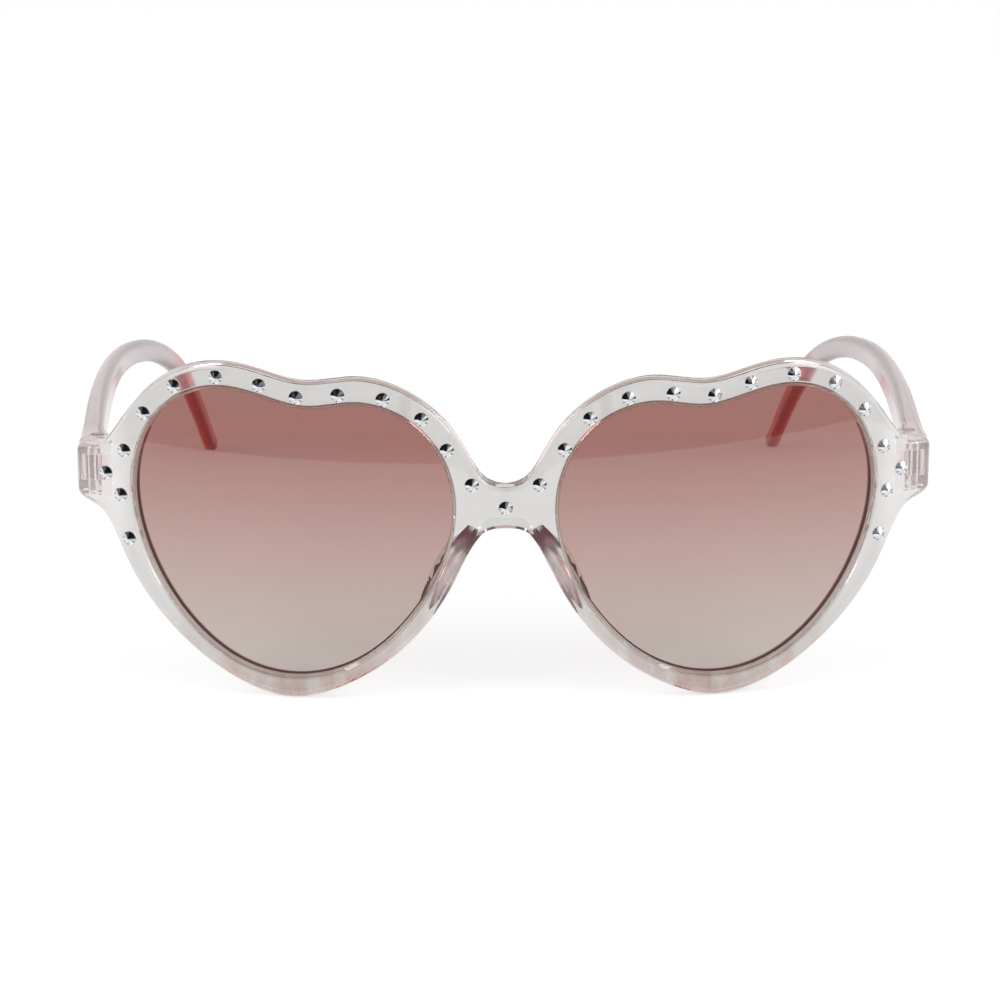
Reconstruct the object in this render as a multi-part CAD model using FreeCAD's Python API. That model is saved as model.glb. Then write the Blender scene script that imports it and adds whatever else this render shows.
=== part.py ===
import FreeCAD, Part
import math
import os

from FreeCAD import Vector

# Heart shaped sunglasses: a clear moulded front that wraps round the face, two lenses in its grooves,
# a row of rhinestones, and two temples that fold on screw hinges.
# Millimetres. +X is the wearer's left, +Y runs back to the ears and +Z is up.
# The glasses stand open on a table, on the two heart tips and the two temple tips.
# The origin is on the table, midway between the bridge and the temple tips.

# The front
front_width = 145.2
front_height = 58.2
front_thickness = 3.8
wrap_radius = 200.0
outer_edge_round = 0.7
back_edge_round = 0.5

# The heart openings
lens_width = 54.0
lens_height = 50.4
lens_spacing = 72.0
rim_under_lens = 3.7
opening_bevel = 0.5
opening_back_bevel = 0.2

# The lenses and their grooves
lens_thickness = 1.3
lens_setback = 0.8
groove_depth = 0.7
lens_clearance = 0.08

# The nose pads, and the rounded relief behind the arch of the bridge
pad_length = 20.0
pad_width = 3.6
pad_projection = 4.8
pad_root = 1.6
pad_centre_across = 10.2
pad_centre_height = 22.0
pad_lean = 29.0
pad_splay = 12.0
pad_dome_points = 7
bridge_relief = 2.0

# The end pieces and the hinges
end_piece_width = 6.4
end_piece_thickness = 3.6
end_corner_round = 1.0
hinge_level = 37.6
hinge_height = 9.4
tongue_height = 4.4
tongue_root = 1.1
knuckle_radius = 1.8
knuckle_clearance = 0.25
pivot_inset = 3.1
pivot_behind_end = 2.0
hinge_play = 0.1
lug_root = 4.5

# The hinge screws
screw_radius = 0.7
screw_fit = 0.05
screw_head_radius = 1.1
screw_head_height = 0.7
screw_head_clearance = 0.1
screw_end_recess = 0.2
driver_slot_width = 0.3
driver_slot_depth = 0.3

# The temples
temple_reach = 131.03
temple_thickness = 3.7
temple_bow = 12.95
temple_sections = 17
tip_overhang = 0.67

# The rhinestones
gem_radius = 1.2
gem_girdle = 0.2
gem_crown = 0.65
gem_seat_depth = 0.55
gem_base_radius = 0.8
gem_facets = 16
gem_clearance = 0.04

# Every cut runs past the solid by this much
overrun = 1.0

# An edge this near to a wrapped surface lies on it, and these shares of its length are tried
surface_match = 0.05
edge_shares = (0.0, 0.3, 0.7, 1.0)

# The heart opening: shares of the lens width from its middle, and of the lens height from its bottom
heart_shares = [
    (0.0, 0.0), (0.198, 0.053), (0.360, 0.209), (0.455, 0.391), (0.5, 0.615), (0.476, 0.785),
    (0.380, 0.938), (0.209, 1.0), (0.067, 0.968), (-0.048, 0.944), (-0.198, 0.963), (-0.354, 0.913),
    (-0.461, 0.787), (-0.5, 0.621), (-0.470, 0.431), (-0.378, 0.245), (-0.217, 0.074),
]

# The front's upper edge from the middle of the bridge to the end piece,
# as shares of half the front's width and of its height
upper_edge_shares = [
    (0.0, 0.6576), (0.0413, 0.673), (0.0826, 0.742), (0.1364, 0.8454), (0.2204, 0.9287), (0.3444, 0.972),
    (0.4683, 0.9557), (0.5537, 0.9794), (0.6377, 1.0), (0.7507, 0.9751), (0.8402, 0.893), (0.9146, 0.7675),
]

# The front's lower edge from below the end piece to the middle of the bridge, in the same shares
lower_edge_shares = [
    (0.9862, 0.5653), (0.9504, 0.5395), (0.9229, 0.4931), (0.8894, 0.3952), (0.8342, 0.2732),
    (0.7493, 0.1529), (0.6364, 0.0507), (0.4959, 0.0), (0.3802, 0.0404), (0.2658, 0.1323),
    (0.1813, 0.244), (0.1249, 0.3557), (0.0716, 0.488), (0.0413, 0.5266), (0.0, 0.5342),
]

# The relief behind the arch of the bridge: shares of its size, back from its start
# and outwards from the arch
relief_shares = [(0.0, -0.12), (0.4, 0.04), (0.8, 0.52), (1.1, 1.09), (1.4, 1.84)]

# How much less it is at the last points of the lower edge, so that it dies away down the sides of the nose
relief_loss_shares = (1.1, 0.45, 0.0, 0.0)

# One nose pad from its lower end to its upper end: shares of its length from its middle,
# of its projection and of its width
pad_shares = [
    (-0.5, -0.1, 0.5), (-0.34, 0.22, 0.8), (-0.15, 0.74, 0.97), (0.06, 1.0, 1.0), (0.26, 0.72, 0.95),
    (0.4, 0.2, 0.75), (0.5, -0.1, 0.5),
]

# Where the end piece's straight edges start, in the same shares
end_top_share = 0.955
end_bottom_share = 0.5911

# The rhinestones of one half, from below the hinge over the heart to the middle of the bridge,
# in the same shares
gem_shares = [
    (0.880, 0.4557), (0.8974, 0.5873), (0.9308, 0.6502), (0.8866, 0.7234), (0.8382, 0.8418),
    (0.7649, 0.9312), (0.6664, 0.9665), (0.5664, 0.9493), (0.4809, 0.9182), (0.3848, 0.9297),
    (0.2815, 0.921), (0.1935, 0.8643), (0.1354, 0.7729), (0.0782, 0.6686),
]
bridge_gem_share = 0.5995

# The temple's spine: shares of its reach, of the hinge level and of its inward bow,
# then for the section there shares of the hinge height, of the temple's thickness
# and of half that thickness for its rounded edges
temple_shares = [
    (0.0, 1.0, 0.0, 1.0, 1.0, 0.5),
    (0.174, 1.021, -0.055, 0.787, 0.946, 0.78),
    (0.365, 1.024, -0.062, 0.617, 0.892, 0.93),
    (0.526, 0.987, 0.073, 0.5, 0.838, 0.95),
    (0.641, 0.902, 0.344, 0.447, 0.811, 0.95),
    (0.740, 0.737, 0.606, 0.426, 0.784, 0.95),
    (0.870, 0.407, 0.830, 0.415, 0.73, 0.95),
    (1.0, 0.0168, 1.0, 0.383, 0.65, 0.95),
]

# Places that follow from the sizes above
half_width = front_width / 2
back_radius = wrap_radius - front_thickness
hinge_top = hinge_level + hinge_height / 2
hinge_bottom = hinge_level - hinge_height / 2


def face_depth(across):
    """How far the front face lies behind the bridge at a place across the front."""
    return wrap_radius - math.sqrt(wrap_radius ** 2 - across ** 2)


hinge_plane = face_depth(half_width) + end_piece_thickness
pivot_across = half_width - pivot_inset
pivot_depth = hinge_plane + pivot_behind_end
overall_depth = hinge_plane + temple_reach + tip_overhang
to_origin = Vector(0, -overall_depth / 2, 0)


def mirrored(shape):
    """The same shape on the wearer's other side."""
    return shape.mirror(Vector(0, 0, 0), Vector(1, 0, 0))


def box_between(low, high):
    """A box from its lowest corner to its highest."""
    size = high.sub(low)
    return Part.makeBox(size.x, size.y, size.z, low)


def wrap_cylinder(radius):
    """The solid inside one of the front's wrapped surfaces."""
    base = Vector(0, wrap_radius, -overrun)
    return Part.makeCylinder(radius, front_height + 2 * overrun, base)


def wrap_shell(outer, inner):
    """The space between two wrapped surfaces."""
    return wrap_cylinder(outer).cut(wrap_cylinder(inner))


def drawn_back(wire):
    """An outline drawn straight back through the whole front."""
    face = Part.Face(wire)
    face.translate(Vector(0, -overrun, 0))
    return face.extrude(Vector(0, hinge_plane + 2 * overrun, 0))


def spline_edge(points, first_tangent, last_tangent):
    """A smooth edge through points, with set directions at its ends."""
    curve = Part.BSplineCurve()
    curve.interpolate(Points=points, InitialTangent=first_tangent, FinalTangent=last_tangent, Scale=False)
    return curve.toShape()


def edges_at_radius(shape, radius):
    """The edges that lie on one wrapped surface."""
    found = []
    for edge in shape.Edges:
        first, last = edge.ParameterRange
        spots = [edge.valueAt(first + (last - first) * share) for share in edge_shares]
        gaps = [abs(math.hypot(spot.x, spot.y - wrap_radius) - radius) for spot in spots]
        if max(gaps) < surface_match:
            found.append(edge)
    return found


def grown(points, widths, closed):
    """Points of a smooth outline, each moved outwards from it by its own width."""
    curve = Part.BSplineCurve()
    curve.interpolate(Points=points, PeriodicFlag=closed)
    moved = []
    for point, width in zip(points, widths):
        along = curve.tangent(curve.parameter(point))[0]
        outwards = Vector(along.z, 0, -along.x)
        moved.append(point + outwards * width)
    return moved


def heart_wire(grow, depth):
    """The heart opening of the wearer's left lens, grown outwards by a width.

    It is drawn at a depth behind the bridge, along lines that meet the wrapped face squarely.
    """
    points = []
    for across, up in heart_shares:
        points.append(Vector(lens_spacing / 2 + across * lens_width, 0, rim_under_lens + up * lens_height))
    drawn = []
    for point in grown(points, [grow] * len(points), True):
        turn = math.asin(point.x / wrap_radius)
        drawn.append(Vector((wrap_radius - depth) * math.tan(turn), depth, point.z))
    curve = Part.BSplineCurve()
    curve.interpolate(Points=drawn, PeriodicFlag=True)
    return Part.Wire([curve.toShape()])


def heart_prism(grow):
    """The heart opening through the whole front, square to its wrapped face."""
    ends = [heart_wire(grow, -overrun), heart_wire(grow, hinge_plane + overrun)]
    return Part.makeLoft(ends, True, True)


def bridge_relief_space():
    """What is taken off the back of the bridge and the rims beside it, to round them over the nose."""
    nose_side = lower_edge_shares[-len(relief_loss_shares):]
    half = [Vector(across * half_width, 0, up * front_height) for across, up in nose_side]
    arch = half + [Vector(-point.x, 0, point.z) for point in half[-2::-1]]
    losses = relief_loss_shares + relief_loss_shares[-2::-1]
    wires = []
    for back, outwards in relief_shares:
        points = grown(arch, [(outwards - loss) * bridge_relief for loss in losses], False)
        for point in points:
            point.y = front_thickness - bridge_relief + back * bridge_relief
        curve = Part.BSplineCurve()
        curve.interpolate(Points=points)
        wires.append(Part.Wire([curve.toShape(), Part.makeLine(points[-1], points[0])]))
    return Part.makeLoft(wires, True, False)


def front_wire():
    """The outline of the whole front, seen from in front."""
    def place(shares):
        return Vector(shares[0] * half_width, 0, shares[1] * front_height)

    end_top = Vector(end_top_share * half_width, 0, hinge_top)
    corner_top = Vector(half_width - end_corner_round, 0, hinge_top)
    corner_side = Vector(half_width, 0, hinge_top - end_corner_round)
    bend = end_corner_round * (1 - math.sqrt(0.5))
    corner_middle = Vector(half_width - bend, 0, hinge_top - bend)
    end_bottom = Vector(half_width, 0, end_bottom_share * front_height)
    upper = [place(shares) for shares in upper_edge_shares] + [end_top]
    lower = [end_bottom] + [place(shares) for shares in lower_edge_shares]
    outwards = Vector(1, 0, 0)
    half = [
        spline_edge(upper, outwards, outwards),
        Part.makeLine(end_top, corner_top),
        Part.Arc(corner_top, corner_middle, corner_side).toShape(),
        Part.makeLine(corner_side, end_bottom),
        spline_edge(lower, Vector(0, 0, -1), outwards * -1),
    ]
    return Part.Wire(Part.__sortEdges__(half + [mirrored(edge) for edge in half]))


def end_block():
    """The thicker part of one end piece, flat at the back where the temple stops."""
    low = Vector(half_width - end_piece_width, -overrun, hinge_bottom)
    high = Vector(half_width + overrun, hinge_plane, hinge_top)
    block = drawn_back(front_wire()).common(box_between(low, high))
    return block.common(wrap_cylinder(wrap_radius - front_thickness / 2))


def hinge_tongue():
    """The front's half of one hinge: a rounded tongue behind the end piece, bored for the screw."""
    inner = pivot_across - knuckle_radius
    outer = pivot_across + knuckle_radius
    buried = hinge_plane - overrun
    corners = [
        Vector(inner, pivot_depth, 0),
        Vector(inner, hinge_plane + tongue_root, 0),
        Vector(inner - tongue_root, hinge_plane, 0),
        Vector(inner - tongue_root, buried, 0),
        Vector(outer, buried, 0),
        Vector(outer, pivot_depth, 0),
    ]
    edges = [Part.makeLine(start, end) for start, end in zip(corners, corners[1:])]
    rear = Vector(pivot_across, pivot_depth + knuckle_radius, 0)
    edges.append(Part.Arc(corners[-1], rear, corners[0]).toShape())
    tongue = Part.Face(Part.Wire(edges)).extrude(Vector(0, 0, tongue_height))
    tongue.translate(Vector(0, 0, hinge_level - tongue_height / 2))
    return tongue


def screw_bore():
    """The bore that a hinge screw turns in."""
    base = Vector(pivot_across, pivot_depth, hinge_bottom - overrun)
    return Part.makeCylinder(screw_radius + screw_fit, hinge_height + 2 * overrun, base)


def pad_section(height, half_wide, rise):
    """A domed section across a nose pad."""
    spots = []
    for count in range(pad_dome_points):
        angle = math.pi * count / (pad_dome_points - 1)
        spots.append(Vector(half_wide * math.cos(angle), rise * math.sin(angle), height))
    dome = Part.BSplineCurve()
    dome.interpolate(Points=spots)
    return Part.Wire([dome.toShape(), Part.makeLine(spots[-1], spots[0])])


def nose_pad():
    """One nose pad: a swelling behind the rim that rises and dies away along the side of the nose."""
    sections = []
    for along, rise, wide in pad_shares:
        half_wide = wide * pad_width / 2
        sections.append(pad_section(along * pad_length, half_wide, pad_root + rise * pad_projection))
    pad = Part.makeLoft(sections, True, False)
    pad.rotate(Vector(0, 0, 0), Vector(0, 1, 0), -pad_lean)
    pad.rotate(Vector(0, 0, 0), Vector(0, 0, 1), -pad_splay)
    root_depth = face_depth(pad_centre_across) + front_thickness - pad_root
    pad.translate(Vector(pad_centre_across, root_depth, pad_centre_height))
    return pad


def gem_places():
    """Where the rhinestones sit on the front face, from the wearer's right to the left."""
    half = [(across * half_width, up * front_height) for across, up in gem_shares]
    right = [(-across, height) for across, height in half]
    middle = [(0, bridge_gem_share * front_height)]
    return right + middle + half[::-1]


def set_on_face(shape, across, height):
    """Turns a shape made round Z to stand out of the front face, and puts it in its place."""
    turn = math.degrees(math.asin(across / wrap_radius))
    shape.rotate(Vector(0, 0, 0), Vector(1, 0, 0), 90)
    shape.rotate(Vector(0, 0, 0), Vector(0, 0, 1), turn)
    shape.translate(Vector(across, face_depth(across), height))
    return shape


def gem_socket():
    """The tapered recess that a rhinestone is glued into."""
    lower = gem_base_radius + gem_clearance
    upper = gem_radius + gem_clearance
    taper = Part.makeCone(lower, upper, gem_seat_depth, Vector(0, 0, -gem_seat_depth))
    mouth = Part.makeCylinder(upper, overrun)
    return taper.fuse(mouth)


def rhinestone():
    """A cone-cut stone: a tapered foot, a thin girdle and flat facets that meet in a point."""
    def ring(radius, height):
        corners = []
        for count in range(gem_facets + 1):
            angle = 2 * math.pi * count / gem_facets
            corners.append(Vector(radius * math.cos(angle), radius * math.sin(angle), height))
        return Part.makePolygon(corners)

    foot = Part.makeLoft([ring(gem_base_radius, -gem_seat_depth), ring(gem_radius, 0)], True, True)
    girdle = Part.Face(ring(gem_radius, 0)).extrude(Vector(0, 0, gem_girdle))
    rim = ring(gem_radius, gem_girdle)
    point = Vector(0, 0, gem_girdle + gem_crown)
    facets = [Part.Face(rim)]
    for start, end in zip(rim.Vertexes, rim.Vertexes[1:] + rim.Vertexes[:1]):
        facets.append(Part.Face(Part.makePolygon([start.Point, end.Point, point, start.Point])))
    crown = Part.Solid(Part.Shell(facets))
    return foot.fuse(girdle).fuse(crown).removeSplitter()


def front_blank():
    """The left half of the bare front: its outline wrapped round the face, with rounded edges."""
    blank = drawn_back(front_wire()).common(wrap_shell(wrap_radius, back_radius))
    blank = blank.makeFillet(outer_edge_round, edges_at_radius(blank, wrap_radius))
    blank = blank.makeFillet(back_edge_round, edges_at_radius(blank, back_radius))
    low = Vector(0, -overrun, -overrun)
    high = Vector(half_width + overrun, hinge_plane, front_height + overrun)
    return blank.common(box_between(low, high))


def front_side():
    """The left half of the front: end piece, opening, groove, sockets, hinge tongue and nose pad."""
    side = front_blank().fuse(end_block())
    side = side.cut([heart_prism(0), bridge_relief_space()])
    side = side.makeChamfer(opening_bevel, opening_edges(side, wrap_radius))
    side = side.makeChamfer(opening_back_bevel, opening_edges(side, back_radius))
    groove = lens_space(groove_depth, lens_clearance)
    sockets = [set_on_face(gem_socket(), across, height) for across, height in gem_places() if across > 0]
    side = side.cut([groove] + sockets)
    return side.fuse([hinge_tongue().cut(screw_bore()), nose_pad().cut(groove)])


def front_frame():
    """The whole front: both halves, and the socket in the middle of the bridge."""
    side = front_side()
    middle_socket = set_on_face(gem_socket(), 0, bridge_gem_share * front_height)
    return side.fuse(mirrored(side)).cut(middle_socket)


def opening_edges(front, radius):
    """The edges of the heart opening on one wrapped surface."""
    middle = lens_spacing / 2
    reach = lens_width / 2 + opening_bevel
    return [edge for edge in edges_at_radius(front, radius)
            if abs(edge.BoundBox.Center.x - middle) < reach and edge.isClosed()]


def lens_space(grow, clearance):
    """The room for the wearer's left lens: the heart grown into the rim, between two wrapped surfaces."""
    outer = wrap_radius - lens_setback + clearance
    inner = wrap_radius - lens_setback - lens_thickness - clearance
    return heart_prism(grow).common(wrap_shell(outer, inner))


def temple_section(centre, along, height, thickness, rounding):
    """A section of the temple, square to its spine, with rounded edges."""
    side = along.cross(Vector(0, 0, 1)).normalize()
    up = side.cross(along).normalize()
    radius = rounding * thickness / 2
    half_wide = thickness / 2
    half_tall = height / 2
    bend = radius * (1 - math.sqrt(0.5))

    def spot(across, above):
        return centre + side * across + up * above

    edges = []
    for across, above in ((1, 1), (-1, 1), (-1, -1), (1, -1)):
        first = (across * half_wide, above * (half_tall - radius))
        last = (across * (half_wide - radius), above * half_tall)
        middle = (across * (half_wide - bend), above * (half_tall - bend))
        if across * above < 0:
            first, last = last, first
        edges.append(Part.Arc(spot(*first), spot(*middle), spot(*last)).toShape())
    joined = []
    for corner, following in zip(edges, edges[1:] + edges[:1]):
        joined.append(corner)
        joined.append(Part.makeLine(corner.Vertexes[1].Point, following.Vertexes[0].Point))
    return Part.Wire(joined)


def temple_arm():
    """The bare arm of the wearer's left temple, from its butt to its rounded tip."""
    start = hinge_plane + hinge_play
    butt_across = half_width - temple_thickness / 2
    places = []
    centres = []
    girths = []
    for reach, level, bow, height, thickness, rounding in temple_shares:
        places.append(reach)
        across = butt_across - bow * temple_bow
        centres.append(Vector(across, start + reach * temple_reach, level * hinge_level))
        girths.append(Vector(height * hinge_height, thickness * temple_thickness, rounding))
    first_run = Vector(0, temple_reach, 0)
    last_run = centres[-1].sub(centres[-2]) * (1 / (places[-1] - places[-2]))
    spine = Part.BSplineCurve()
    spine.interpolate(
        Points=centres, Parameters=places, InitialTangent=first_run, FinalTangent=last_run, Scale=False)
    girth = Part.BSplineCurve()
    girth.interpolate(Points=girths, Parameters=places)
    sections = []
    for count in range(temple_sections):
        place = count / (temple_sections - 1)
        size = girth.value(place)
        sections.append(temple_section(spine.value(place), spine.tangent(place)[0], size.x, size.y, size.z))
    arm = Part.makeLoft(sections, True, False)
    return arm.cut(tip_waste(spine.value(1), spine.tangent(1)[0], girth.value(1).x))


def tip_waste(end, along, height):
    """What is taken off the temple's square end to leave a round tip."""
    side = along.cross(Vector(0, 0, 1)).normalize()
    centre = end - along * (height / 2)
    beyond = Part.makeCylinder(height, height, centre, along)
    tip = Part.makeCylinder(height / 2, 2 * temple_thickness, centre - side * temple_thickness, side)
    return beyond.cut(tip)


def hinge_lugs():
    """The temple's half of the hinge before it is slotted: a knuckle and the web that carries it."""
    base = Vector(pivot_across, pivot_depth, hinge_bottom)
    knuckle = Part.makeCylinder(knuckle_radius, hinge_height, base)
    face_across = half_width - temple_thickness
    web = Part.makePolygon([
        Vector(pivot_across - knuckle_radius, pivot_depth, hinge_bottom),
        Vector(face_across, pivot_depth + lug_root, hinge_bottom),
        Vector(pivot_across, pivot_depth + lug_root, hinge_bottom),
        Vector(pivot_across, pivot_depth, hinge_bottom),
        Vector(pivot_across - knuckle_radius, pivot_depth, hinge_bottom),
    ])
    return knuckle.fuse(Part.Face(web).extrude(Vector(0, 0, hinge_height)))


def tongue_slot():
    """The slot between the temple's lugs, with room for the tongue to swing."""
    swing = knuckle_radius + knuckle_clearance
    bottom = hinge_level - tongue_height / 2 - hinge_play
    top = hinge_level + tongue_height / 2 + hinge_play
    inner = pivot_across - knuckle_radius - overrun
    front_part = box_between(
        Vector(inner, hinge_plane - overrun, bottom), Vector(pivot_across + swing, pivot_depth, top))
    inner_part = box_between(
        Vector(inner, hinge_plane - overrun, bottom), Vector(pivot_across, pivot_depth + swing, top))
    middle = Part.makeCylinder(swing, top - bottom, Vector(pivot_across, pivot_depth, bottom))
    return front_part.fuse([inner_part, middle])


def left_temple():
    """The wearer's left temple: its arm, forked hinge end and screw hole."""
    arm = temple_arm()
    corner = box_between(
        Vector(pivot_across - temple_thickness, hinge_plane - overrun, hinge_bottom - overrun),
        Vector(pivot_across, pivot_depth, hinge_top + overrun))
    temple = arm.cut(corner).fuse(hinge_lugs()).removeSplitter()
    head_room = Part.makeCylinder(
        screw_head_radius + screw_head_clearance, screw_head_height + overrun,
        Vector(pivot_across, pivot_depth, hinge_top - screw_head_height))
    return temple.cut([tongue_slot(), screw_bore(), head_room])


def left_hinge_screw():
    """A slotted screw, its head sunk in the upper lug and its end just inside the lower lug."""
    head_base = hinge_top - screw_head_height
    end = hinge_bottom + screw_end_recess
    shank = Part.makeCylinder(screw_radius, head_base - end, Vector(pivot_across, pivot_depth, end))
    head = Part.makeCylinder(
        screw_head_radius, screw_head_height, Vector(pivot_across, pivot_depth, head_base))
    slot = box_between(
        Vector(pivot_across - screw_head_radius - overrun, pivot_depth - driver_slot_width / 2,
               hinge_top - driver_slot_depth),
        Vector(pivot_across + screw_head_radius + overrun, pivot_depth + driver_slot_width / 2,
               hinge_top + overrun))
    return shank.fuse(head).removeSplitter().cut(slot)


def build_pieces():
    """Every piece by name, still measured from the bridge."""
    pieces = {"front_frame": front_frame()}
    pairs = {
        "lens": lens_space(groove_depth - lens_clearance, 0),
        "temple": left_temple(),
        "hinge_screw": left_hinge_screw(),
    }
    for name, shape in pairs.items():
        pieces["left_" + name] = shape
        pieces["right_" + name] = mirrored(shape)
    for count, (across, height) in enumerate(gem_places(), start=1):
        pieces[f"rhinestone_{count:02d}"] = set_on_face(rhinestone(), across, height)
    return pieces


os.makedirs("parts", exist_ok=True)
for piece_name, piece in build_pieces().items():
    piece.translate(to_origin)
    piece.exportStep(f"parts/{piece_name}.step")
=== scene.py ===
import math

import bmesh
import bpy
from bpy.props import FloatProperty, FloatVectorProperty, IntProperty, PointerProperty
from mathutils import Matrix, Vector


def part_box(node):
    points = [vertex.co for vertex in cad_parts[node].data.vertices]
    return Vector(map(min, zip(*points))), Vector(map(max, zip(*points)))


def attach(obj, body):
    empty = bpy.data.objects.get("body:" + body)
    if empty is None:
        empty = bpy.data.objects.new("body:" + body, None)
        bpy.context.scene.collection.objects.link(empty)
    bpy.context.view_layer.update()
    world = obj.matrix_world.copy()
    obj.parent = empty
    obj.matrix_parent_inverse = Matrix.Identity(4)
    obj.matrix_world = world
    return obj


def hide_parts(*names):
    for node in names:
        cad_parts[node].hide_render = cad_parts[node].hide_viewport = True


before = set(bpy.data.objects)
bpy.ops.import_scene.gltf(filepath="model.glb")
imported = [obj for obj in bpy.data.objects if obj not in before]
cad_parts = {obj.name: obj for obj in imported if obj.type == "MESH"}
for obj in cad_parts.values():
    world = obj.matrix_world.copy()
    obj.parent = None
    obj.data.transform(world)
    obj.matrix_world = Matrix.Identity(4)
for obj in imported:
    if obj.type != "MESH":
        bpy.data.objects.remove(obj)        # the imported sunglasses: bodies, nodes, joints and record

bl_info = {
    "name": "Heart Sunglasses",
    "version": (1, 0, 0),
    "blender": (4, 5, 0),
    "location": "3D View > Sidebar > Sunglasses",
    "description": "Dresses the packed heart shaped sunglasses and stands them on a pale studio table",
    "category": "Object",
}

# Heart shaped sunglasses with a clear pink front and temples, dyed lenses and foiled stones.
# Metres, in the frame's own axes: +X is the wearer's left, +Y runs back to the ears, +Z is up.

MM = 0.001
WHITE = (1.0, 1.0, 1.0, 1.0)
SIDES = ("left", "right")
POLYCARBONATE_IOR = 1.58
ACRYLIC_IOR = 1.49

# An edge of a moulding, or of a screw, that bends more than this stays sharp
SHARP_ANGLE = math.radians(32.0)
SCREW_SHARP_ANGLE = math.radians(40.0)

# The normal of a wall of the openings leans forwards or back by less than the first share, and towards
# their middle by more than the second; that of a lens's face lies forwards or back by more than the third
WALL_LEAN_SHARE = 0.4
WALL_INWARD_SHARE = 0.3
LENS_FACE_SHARE = 0.5

# Points of a moulding's mesh, or of a thread, that are closer than this are one
MERGE_DISTANCE = 0.001 * MM
THREAD_MERGE_DISTANCE = 0.002 * MM

# The upright cylinder that the front's face follows, and depths behind that face: the walls of the
# openings behind the lenses, and where their painted shade ends
WRAP_RADIUS = 200 * MM
SEAT_DEPTHS = (2.2 * MM, 3.75 * MM)
SHADE_DEPTHS = (3.1 * MM, 3.4 * MM)

# Depths behind the middle of the bridge where the nose pads begin
PAD_DEPTHS = (4.4 * MM, 5.0 * MM)

# Distances from the middle: where the nose pads end, where the nose side of the openings' walls
# and that of the lower rims end, and where the end pieces begin
PAD_REACH = (16 * MM, 18 * MM)
NOSE_WALLS = (26 * MM, 34 * MM)
NOSE_RIMS = (30 * MM, 40 * MM)
END_PIECES = (63.5 * MM, 65.5 * MM)

# The streaks of painted shade in the lower rims
STREAK_WIDTH = 2.6 * MM
STREAK_LENGTH = 8 * MM

# Levels above the table: where those streaks of painted shade end, above the heart tips and beside the
# nose, where the painted lens red on the nose pads sets in, and where the painted shade behind the lenses
# ends
TIP_STREAKS = (2 * MM, 14 * MM)
NOSE_STREAKS = (20 * MM, 26 * MM)
PAD_TOPS = (26 * MM, 29 * MM)
SEAT_TOP = (36 * MM, 46 * MM)

# The temples: the fork, how far behind it haze and painted glow change, and where along them the tips' dye
# comes
FORK_LENGTH = 6 * MM
HAZE_LENGTH = 6 * MM
GLOW_LENGTH = 3 * MM
TIP_DYE_SHARES = (0.71, 0.79)

# Where up the lenses the foot, the middle and the crown of the dye are
LENS_FOOT_SHARE = 0.08
LENS_MIDDLE_SHARE = 0.45
LENS_CROWN_SHARE = 0.82

# The floor of a screw's slot, as a share of its head's height, and the bevel round the head's halves
SLOT_FLOOR_SHARE = 0.55
HEAD_BEVEL = 0.05 * MM

# The painted brightness of a stone's flats, in turn: dimmer flats are painted reflections of dark parts of
# the room
STONE_PAINTED_TONES = (1.0, 0.82, 1.0, 0.35, 0.95, 0.7, 1.0, 0.2, 0.9, 1.0, 0.55)

# The studio: how bright its world and table are as the camera sees them and, dimmer, as they are seen
# through the clear plastic, and the light that the world gives
WORLD_LEVELS = (1.0, 0.8)
TABLE_LEVELS = (0.66, 0.46)
WORLD_LIGHT = 0.6

# The table: the gap that keeps it clear of the glasses, and the segments of its round edge
TABLE_GAP = 0.05 * MM
TABLE_SEGMENTS = 128

# The cloths of the studio's dome, from height to height and from turn to turn, in degrees
CLOTH_RADIUS = 2000 * MM
CLOTH_RISES = 12
CLOTH_STEPS = 48
WHOLE_TURN = (-180.0, 180.0)
CEILING_HEIGHTS = (30.0, 90.0)
FLAG_HEIGHTS = (-40.0, -3.0)
FLAG_TURNS = (-80.0, 80.0)

# The cards in front of the glasses: their foot and top, and each from side to side
CARD_DISTANCE = 150 * MM
CARD_LEVELS = (5 * MM, 405 * MM)
BLACK_CARD_SIDES = (-800 * MM, -4 * MM)
GREY_CARD_SIDES = (-4 * MM, 90 * MM)

# The softboxes: the left one's place across, along and up, which the right one mirrors
SOFTBOX_PLACE = (900 * MM, -500 * MM, 700 * MM)
SOFTBOX_WIDTH = 500 * MM
SOFTBOX_WATTS = 4.0

PICTURE_PIXELS = 1000
SENSOR_WIDTH_MM = 36.0


def linear(hex_colour):
    """The linear colour of an sRGB hex value."""
    parts = [int(hex_colour[place:place + 2], 16) / 255 for place in (1, 3, 5)]
    return tuple(part / 12.92 if part <= 0.04045 else ((part + 0.055) / 1.055) ** 2.4 for part in parts)


def opaque(colour):
    """A colour with full alpha, as a node's colour socket takes it."""
    return (*colour, 1.0)


# What a user would change

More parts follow.
